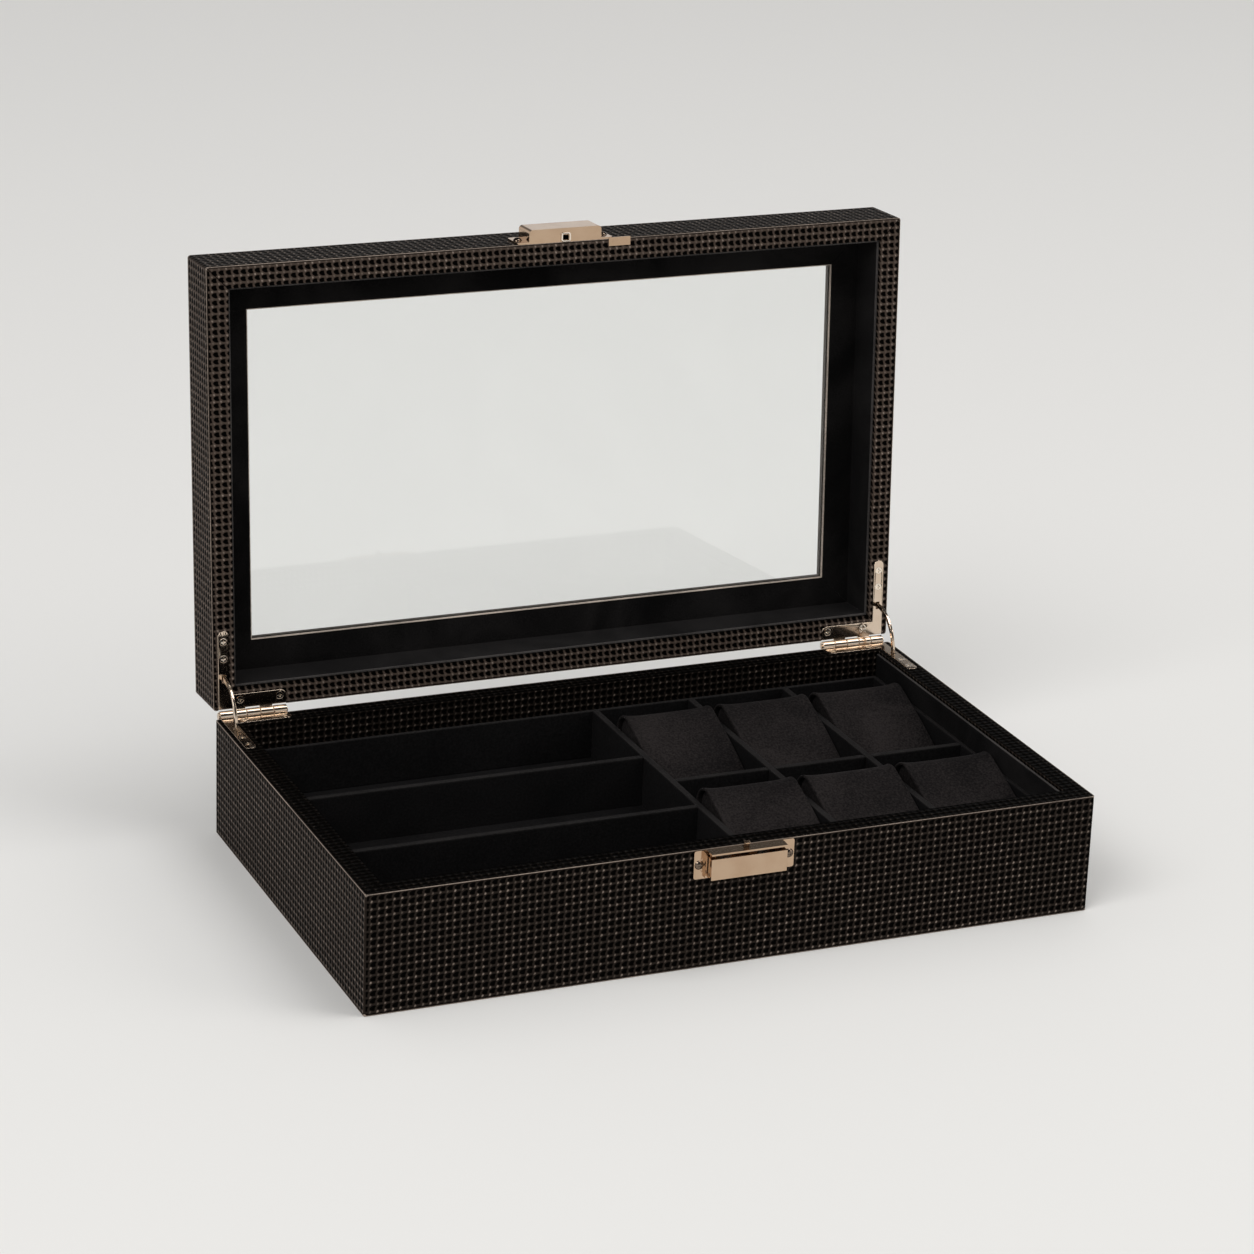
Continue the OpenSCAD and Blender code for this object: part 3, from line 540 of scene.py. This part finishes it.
# The folded edges' paler colour, a painted highlight.
VELVET_FOLD_HIGHLIGHT = (0.075, 0.069, 0.066)
VELVET_FOLD = 0.7 * MM
VELVET_EDGE = 0.15 * MM
# A painted highlight in a thin band along the lip's window edge.
LIP_EDGE_HIGHLIGHT, LIP_HIGHLIGHT_WIDE = (0.62, 0.53, 0.45), 0.4 * MM


def velvet(name, at_edge, edge_colour=VELVET_FOLD_HIGHLIGHT):
    """at_edge: a function from the place on the piece to how near it is to the edge that shows."""
    made, spot = new_finish(name)
    pile = spot.noise(2200.0, 3.0)
    sweep = spot.noise(17.0, 3.0, distortion=1.2)
    paint = (pile * 0.35 + sweep * 0.65).step(0.36, 0.66).between(*VELVET_COLOURS)
    # Painted highlight: the edge that shows is painted paler, broken up by the pile.
    paint = (at_edge(spot) * (pile + sweep).step(0.7, 1.2, 0.4, 1.0)).between(paint, edge_colour)
    return coat(made, {
        "Base Color": paint, "Roughness": 0.92, "Specular IOR Level": 0.06, "Sheen Weight": 0.10,
        "Sheen Roughness": 0.32, "Sheen Tint": (0.70, 0.66, 0.67),
        "Normal": (pile + sweep * 0.6).relief(0.5, 0.15 * MM)})


def side_fold(spot):
    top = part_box("left_side_lining")[1].z
    return spot.part("Z").step(top - VELVET_FOLD, top)


def lid_fold(spot):
    foot = shut_box("lid_wall_lining")[0].z
    return shut(spot).part("Z").step(foot, foot + VELVET_FOLD, 1, 0)


# The painted highlight band round the window on the lip.
def lip_highlight_band(spot):
    return in_window(shut(spot), LIP_HIGHLIGHT_WIDE)


dress(["left_side_lining", "right_side_lining"], velvet("side_velvet", side_fold), VELVET_EDGE)
dress(["lid_wall_lining"], velvet("lid_velvet", lid_fold), VELVET_EDGE)
dress(["glass_retainer"], velvet("lip_velvet", lip_highlight_band, LIP_EDGE_HIGHLIGHT), VELVET_EDGE)

# ---- Window ----
# A pane of clear float glass, laid in the rebate of the lid's frame under the velvet lip. It is very
# slightly green, and faint wiping marks dull its shine and shade it a little.
GLASS_COLOUR, WIPED_SHADE = (0.972, 0.988, 0.980), 0.985
PANE_EDGE = 0.25 * MM


def window_glass():
    made, spot = new_finish("clear_glass")
    wiped = spot.noise(9.0, 4.0, distortion=2.0)
    shade = tuple(c * WIPED_SHADE for c in GLASS_COLOUR)
    return coat(made, {"Base Color": wiped.step(0.3, 0.7).between(shade, GLASS_COLOUR),
                       "Roughness": wiped.step(0.45, 0.8, 0.0, 0.04), "IOR": 1.5,
                       "Transmission Weight": 1.0})


dress(["glass_pane"], window_glass(), PANE_EDGE)

# ---- Hinges ----
# Two pressed brass box hinges, nickel plated and polished: L-shaped leaves let into the rims, five
# knuckles on a pin behind the case, and a curved stay arm that stops the lid just past upright.
HINGE_COLOURS = (0.74, 0.61, 0.49), (0.66, 0.52, 0.39), (0.40, 0.30, 0.22)
# The hinge screws' lighter colour, a painted highlight.
HINGE_SCREW_HIGHLIGHT_COLOURS = (0.90, 0.81, 0.70), (0.84, 0.72, 0.58), (0.60, 0.48, 0.36)
SCREW_MARKS = 2400.0
HINGE_EDGE, HINGE_PIN_EDGE, HINGE_SCREW_EDGE = 0.22 * MM, 0.12 * MM, 0.16 * MM
METAL_ANGLE = 40
HINGE_PLATES = [side + part for side in ("left_", "right_")
                for part in ("hinge_base_leaf", "hinge_lid_leaf", "stay_arm")]


def nickel(name, clean, warm, dull, marks_per_metre=900.0, tarnish=0.75, roughness=0.10):
    """tarnish: how far the clean colour turns warm. dull: the colour in the polishing marks."""
    made, spot = new_finish(name)
    marks = spot.noise(marks_per_metre, 5.0, 0.6)
    cloud = spot.noise(75.0, 3.0)
    paint = (cloud.step(0.3, 0.7) * tarnish).between(clean, warm)
    paint = ((marks * cloud).step(0.36, 0.50) * 0.2).between(paint, dull)
    return coat(made, {
        "Base Color": paint, "Metallic": 1.0,
        "Roughness": (marks * 0.4 + cloud * 0.6).step(0.35, 0.75, roughness, roughness + 0.05)})


hinge_nickel = nickel("hinge_nickel", *HINGE_COLOURS)
# Painted highlight: a lighter copy of the nickel for the hinge screws and the catch bead.
highlight_nickel = nickel("highlight_nickel", *HINGE_SCREW_HIGHLIGHT_COLOURS, SCREW_MARKS, tarnish=0.4, roughness=0.12)
dress(HINGE_PLATES, hinge_nickel, HINGE_EDGE, rounds=3, angle=METAL_ANGLE)
dress(["left_hinge_pin", "right_hinge_pin"], hinge_nickel, HINGE_PIN_EDGE, angle=METAL_ANGLE)
dress(["base_hinge_screws", "lid_hinge_screws"], highlight_nickel, HINGE_SCREW_EDGE, rounds=3,
      angle=METAL_ANGLE)

# ---- Clasp ----
# A pressed housing screwed to the front of the base holds a rocking push plate on a pin, with a bent
# spring strip behind it. The plate's hook catches in the box of the plate screwed under the lid's rim.
CLASP_COLOURS = (0.56, 0.405, 0.28), (0.49, 0.335, 0.22), (0.28, 0.19, 0.13)
# The screws' and pivot pin's dark colour, a painted reflection of a dark room.
CLASP_SCREW_REFLECTION_COLOURS = (0.19, 0.145, 0.11), (0.15, 0.11, 0.08), (0.06, 0.045, 0.035)
STEEL_COLOURS = ((0.30, 0.30, 0.31), (0.58, 0.58, 0.60))
DRAWN_LINES = (4000.0, 4000.0, 260.0)
CLASP_EDGE, CLASP_PIN_EDGE, SPRING_EDGE = 0.40 * MM, 0.10 * MM, 0.08 * MM
BEAD_HALF_WIDE, BEAD_HALF_TALL = 1.95 * MM, 1.80 * MM
BEAD_THICK, BEAD_HIGH = 0.40 * MM, 0.25 * MM
BEAD_SQUARENESS = 0.4
BEAD_STEPS, BEAD_ROUND_STEPS = 48, 8
BEAD_BESIDE = 6.0
PAD_PROUD = 0.3 * MM
BEAD_WELD = 0.001 * MM


def spring_strip():
    made, spot = new_finish("spring_strip")
    drawn = spot.node("ShaderNodeVectorMath", {"operation": "MULTIPLY"}, {0: spot, 1: DRAWN_LINES})
    lines = drawn.noise(1.0, 3.0)
    return coat(made, {"Base Color": lines.step(0.3, 0.7).between(*STEEL_COLOURS), "Metallic": 1.0,
                       "Roughness": lines.step(0.3, 0.7, 0.22, 0.42)})


def loft(bm, rings, close_ends=False):
    """A skin over rings of points, each with as many points as the last."""
    loops = [[bm.verts.new(p) for p in ring] for ring in rings]
    for a, b in zip(loops, loops[1:]):
        for k in range(len(a)):
            n = (k + 1) % len(a)
            bm.faces.new((a[k], a[n], b[n], b[k]))
    if close_ends:
        for loop in (loops[0], loops[-1]):
            middle = bm.verts.new(sum((v.co for v in loop), Vector()) / len(loop))
            for k in range(len(loop)):
                bm.faces.new((loop[k], loop[(k + 1) % len(loop)], middle))
    bmesh.ops.recalc_face_normals(bm, faces=bm.faces)


def new_piece(name, bm, made):
    """A smooth piece of that shape and finish, in the scene."""
    mesh = bpy.data.meshes.new(name)
    bm.to_mesh(mesh)
    bm.free()
    mesh.shade_smooth()
    mesh.materials.append(made)
    piece = bpy.data.objects.new(name, mesh)
    bpy.context.scene.collection.objects.link(piece)
    return piece


def catch_bead():
    """The polished bead round the slot that the hook enters, pressed up from the catch plate's pad. The
    pad is met a few pixels to each side of the slot."""
    x, y, name, _ = IMAGE_POINTS["catch_bead"]
    pad = nodes["lid_catch_plate"]
    (left, facing), (right, _) = (place_at(x + aside, y, pad) for aside in (-BEAD_BESIDE, BEAD_BESIDE))
    across = Vector((1, 0, 0))
    up = facing.cross(across)
    middle = (left + right) / 2 + facing * PAD_PROUD
    rings = []
    for k in range(BEAD_STEPS):
        turn = math.tau * k / BEAD_STEPS
        c, s = math.cos(turn), math.sin(turn)
        square_c, square_s = (math.copysign(abs(way) ** BEAD_SQUARENESS, way) for way in (c, s))
        spine = middle + across * square_c * BEAD_HALF_WIDE + up * square_s * BEAD_HALF_TALL
        out = (across * c + up * s).normalized()
        rings.append([spine + out * math.cos(t) * BEAD_THICK + facing * math.sin(t) * BEAD_HIGH
                      for t in (math.tau * n / BEAD_ROUND_STEPS for n in range(BEAD_ROUND_STEPS))])
    bm = bmesh.new()
    loft(bm, rings + rings[:1])
    bmesh.ops.remove_doubles(bm, verts=bm.verts, dist=BEAD_WELD)
    bmesh.ops.recalc_face_normals(bm, faces=bm.faces)
    # Painted highlight: the bead is finished in the lighter copy of the nickel.
    piece = new_piece(name, bm, highlight_nickel)
    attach(piece, "lid")


clasp_nickel = nickel("clasp_nickel", *CLASP_COLOURS)
# Painted reflection: the screws and pivot pin are painted dark, as if reflecting a dark room, and
# tarnish like the rest.
dark_reflection_nickel = nickel("dark_reflection_nickel", *CLASP_SCREW_REFLECTION_COLOURS, SCREW_MARKS, tarnish=0.5)
dress(["clasp_body", "clasp_push_plate", "lid_catch_plate"], clasp_nickel, CLASP_EDGE, rounds=4,
      angle=METAL_ANGLE)
dress(["clasp_pivot_pin", "base_clasp_screws", "lid_clasp_screws"], dark_reflection_nickel, CLASP_PIN_EDGE,
      angle=METAL_ANGLE)
dress(["clasp_spring"], spring_strip(), SPRING_EDGE)
catch_bead()

# ---- Watch pillows ----
# Foam pads with a crown near the back and a long slope to a low front edge, their ends covered, each in
# a sleeve of microsuede with hemmed edges that is pulled tight over it and swells between its hems.
PILLOWS = [f"{row}_{column}_pillow" for row in ("rear", "front")
           for column in ("left", "middle", "right")]
CROWN_R, TOE_R = 9.5 * MM, 5.0 * MM
SLOPE_BULGE, BULGE_TURN = 1.0 * MM, math.radians(4)
CROWN_STEPS, SLOPE_STEPS, TOE_STEPS, HEEL_STEPS, BACK_STEPS = 22, 22, 14, 14, 6
HEM_ROUND, HEM_STEPS = 0.65 * MM, 8
SEAM_WELD = 0.01 * MM
HEART_BACK, HEART_UP = 0.10, 0.45
PAD_GAP, PAD_SHY = 0.12 * MM, 2.0 * MM
# The rings of a pad's end: mm in from its side, mm in from its edge, and how far out from its heart.
PAD_END = [(0.0, 0.90, 1.0), (0.25, 0.35, 1.0), (0.6, 0.12, 1.0), (1.2, 0.0, 1.0),
           (1.2, -0.15, 0.86), (1.2, -0.3, 0.66), (1.2, -0.4, 0.42), (1.2, -0.42, 0.2)]
SKIN_STEPS = 18
SLACK, SLACK_FADE = 0.9 * MM, 6
SWELL_CAP = 1.0 * MM
SWELL_FRAMES = 20
SLEEVE_FILL, PAD_FILL = 0.85, 0.95
SLEEVE_COLOURS = ((0.0040, 0.0034, 0.0035), (0.0215, 0.0182, 0.0176))


def rounding(middle, r, start, end, steps):
    turns = [start + (end - start) * k / steps for k in range(steps + 1)]
    return [middle + r * Vector((math.cos(t), math.sin(t))) for t in turns]


def straight(start, end, steps):
    """The points between two ends, without the ends."""
    return [start.lerp(end, k / steps) for k in range(1, steps)]


def pillow_outline(length, height, inset):
    """The section seen from the right, its back at +, its underside at 0, made smaller by inset."""
    crown = Vector((length / 2 - CROWN_R, height - CROWN_R))
    toe = Vector((TOE_R - length / 2, TOE_R))
    heel = Vector((length / 2 - CROWN_R, CROWN_R))
    run = crown - toe
    slope = math.atan2(run.y, run.x) + math.asin((CROWN_R - TOE_R) / run.length)
    out = Vector((-math.sin(slope), math.cos(slope)))
    quarter = math.pi / 2
    over = rounding(crown, CROWN_R - inset, 0, quarter + slope - BULGE_TURN, CROWN_STEPS)
    down = straight(crown + (CROWN_R - inset) * out, toe + (TOE_R - inset) * out, SLOPE_STEPS)
    down = [p + SLOPE_BULGE * math.sin(math.pi * k / SLOPE_STEPS) * out for k, p in enumerate(down, 1)]
    front = rounding(toe, TOE_R - inset, quarter + slope + BULGE_TURN, 3 * quarter, TOE_STEPS)
    back = rounding(heel, CROWN_R - inset, 3 * quarter, 4 * quarter, HEEL_STEPS)
    return (over + down + front + straight(front[-1], back[0], HEEL_STEPS)
            + back + straight(back[-1], over[0], BACK_STEPS))


def pillow_ring(size, x, inset, share=1.0):
    """A ring of the pillow at x from its middle, drawn in towards the pad's heart by share."""
    heart = Vector((size.y * HEART_BACK, size.z * HEART_UP))
    return [Vector((x, *heart.lerp(p, share))) for p in pillow_outline(size.y, size.z, inset)]


def swollen_skin(size):
    """Rings of the sleeve's outside, blown against its hems by a cloth simulation."""
    ends, half = size.x / 2 - HEM_ROUND, SKIN_STEPS // 2
    places = [ends * math.sin(math.pi * k / SKIN_STEPS) for k in range(-half, half + 1)]
    start = [pillow_ring(size, x, SLACK * (1 - (x / ends) ** SLACK_FADE)) for x in places]
    bm = bmesh.new()
    loft(bm, start, close_ends=True)
    mesh = bpy.data.meshes.new("sleeve_in_work")
    bm.to_mesh(mesh)
    bm.free()
    work = bpy.data.objects.new("sleeve_in_work", mesh)
    bpy.context.scene.collection.objects.link(work)
    around = len(start[0])
    last = around * (len(start) - 1)
    held = [*range(around), *range(last, len(mesh.vertices))]
    work.vertex_groups.new(name="hems").add(held, 1.0, "REPLACE")
    cloth = work.modifiers.new("cloth", "CLOTH")
    cloth.settings.quality = 6
    cloth.settings.mass = 0.1
    cloth.settings.use_pressure = True
    cloth.settings.uniform_pressure_force = 4.0
    cloth.settings.tension_stiffness = cloth.settings.compression_stiffness = 12.0
    cloth.settings.bending_stiffness = 0.3
    cloth.settings.vertex_group_mass = "hems"
    cloth.settings.effector_weights.gravity = 0.0
    for number in range(1, SWELL_FRAMES + 1):
        bpy.context.scene.frame_set(number)
    done = work.evaluated_get(bpy.context.evaluated_depsgraph_get()).to_mesh()
    blown = [v.co.copy() for v in done.vertices]
    bpy.context.scene.frame_set(1)
    bpy.data.objects.remove(work)
    rings = []
    for r, ring in enumerate(start):
        moves = [blown[r * around + k] - p for k, p in enumerate(ring)]
        rings.append([p + m * min(1.0, SWELL_CAP / max(m.length, 1e-9)) for p, m in zip(ring, moves)])
    return rings


def hem(size, side):
    """Rings round the half-round hem at one end of the sleeve, from its outside to its inside."""
    rings = []
    for k in range(1, HEM_STEPS + 1):
        turn = math.pi * k / HEM_STEPS
        x = side * (size.x / 2 - HEM_ROUND * (1 - math.sin(turn)))
        rings.append(pillow_ring(size, x, HEM_ROUND * (1 - math.cos(turn))))
    return rings


def sleeve_shape(skin, size):
    """The blown outside, a half-round hem at each end, and the inside against the pad."""
    inside = [pillow_ring(size, side * (size.x / 2 - HEM_ROUND), 2 * HEM_ROUND) for side in (-1, 1)]
    bm = bmesh.new()
    loft(bm, hem(size, -1)[::-1] + skin + hem(size, 1))
    loft(bm, inside)
    bmesh.ops.remove_doubles(bm, verts=bm.verts, dist=SEAM_WELD)
    bmesh.ops.recalc_face_normals(bm, faces=bm.faces)
    return bm


def pad_end(size, side):
    """Rings of one slightly crowned end of the pad, from its side to its middle."""
    around = 2 * HEM_ROUND + PAD_GAP
    return [pillow_ring(size, side * (size.x / 2 - PAD_SHY - depth * MM), around + inset * MM, share)
            for inset, depth, share in PAD_END]


def pad_shape(size):
    """The foam pad, with its ends rounded into its sides."""
    bm = bmesh.new()
    loft(bm, pad_end(size, -1)[::-1] + pad_end(size, 1), close_ends=True)
    return bm


def place_pillow(name, skin):
    lo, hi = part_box(name + "_cover")
    foot = Vector(((lo.x + hi.x) / 2, (lo.y + hi.y) / 2, lo.z))
    for part, bm, stands_for, fill in (("sleeve", sleeve_shape(skin, hi - lo), "_cover", SLEEVE_FILL),
                                       ("pad", pad_shape(hi - lo), "_core", PAD_FILL)):
        bmesh.ops.translate(bm, verts=bm.verts, vec=foot)
        piece = new_piece(f"{name}_{part}", bm, sleeve_suede)
        smooth = piece.modifiers.new("smooth", "SUBSURF")
        smooth.levels = smooth.render_levels = 1
        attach(piece, name)
        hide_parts(name + stands_for)


sleeve_suede = microsuede("sleeve_suede", *SLEEVE_COLOURS)
first_lo, first_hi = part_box(PILLOWS[0] + "_cover")
blown_skin = swollen_skin(first_hi - first_lo)
for pillow in PILLOWS:
    place_pillow(pillow, blown_skin)

# ---- Image points ----
# How far each named thing shows from its image point, from the finished corners that the camera sees.
SEEN_WITHIN = 0.4 * MM


def shown(piece):
    """The finished corners of a piece that nothing hides from the camera."""
    graph = bpy.context.evaluated_depsgraph_get()
    seen = []
    for corner in finished(piece)[0]:
        ray = corner - CAMERA_PLACE
        hit, place, *_ = bpy.context.scene.ray_cast(graph, CAMERA_PLACE, ray.normalized())
        if not hit or (place - CAMERA_PLACE).length > ray.length - SEEN_WITHIN:
            seen.append(corner)
    return seen


def off_point(x, y, piece, way):
    """How far in x and y the thing shows from its point."""
    corners = shown(bpy.data.objects[piece] if piece in bpy.data.objects else nodes[piece])
    if not corners:
        return {"shows": False}
    pixels = [pixel(corner) for corner in corners]
    if isinstance(way, tuple):
        seen = pixels[max(range(len(corners)), key=lambda k: corners[k].dot(Vector(way)))]
    else:
        spans = [(min(p[axis] for p in pixels), max(p[axis] for p in pixels)) for axis in (0, 1)]
        end = {"left": 0, "top": 0, "right": 1, "bottom": 1}.get(way)
        seen = [sum(span) / 2 if end is None else span[end] for span in spans]
    return {axis: round(at - point, 1) for axis, at, point in (("x", seen[0], x), ("y", seen[1], y))
            if point is not None}


{name: off_point(*point) for name, point in IMAGE_POINTS.items()}
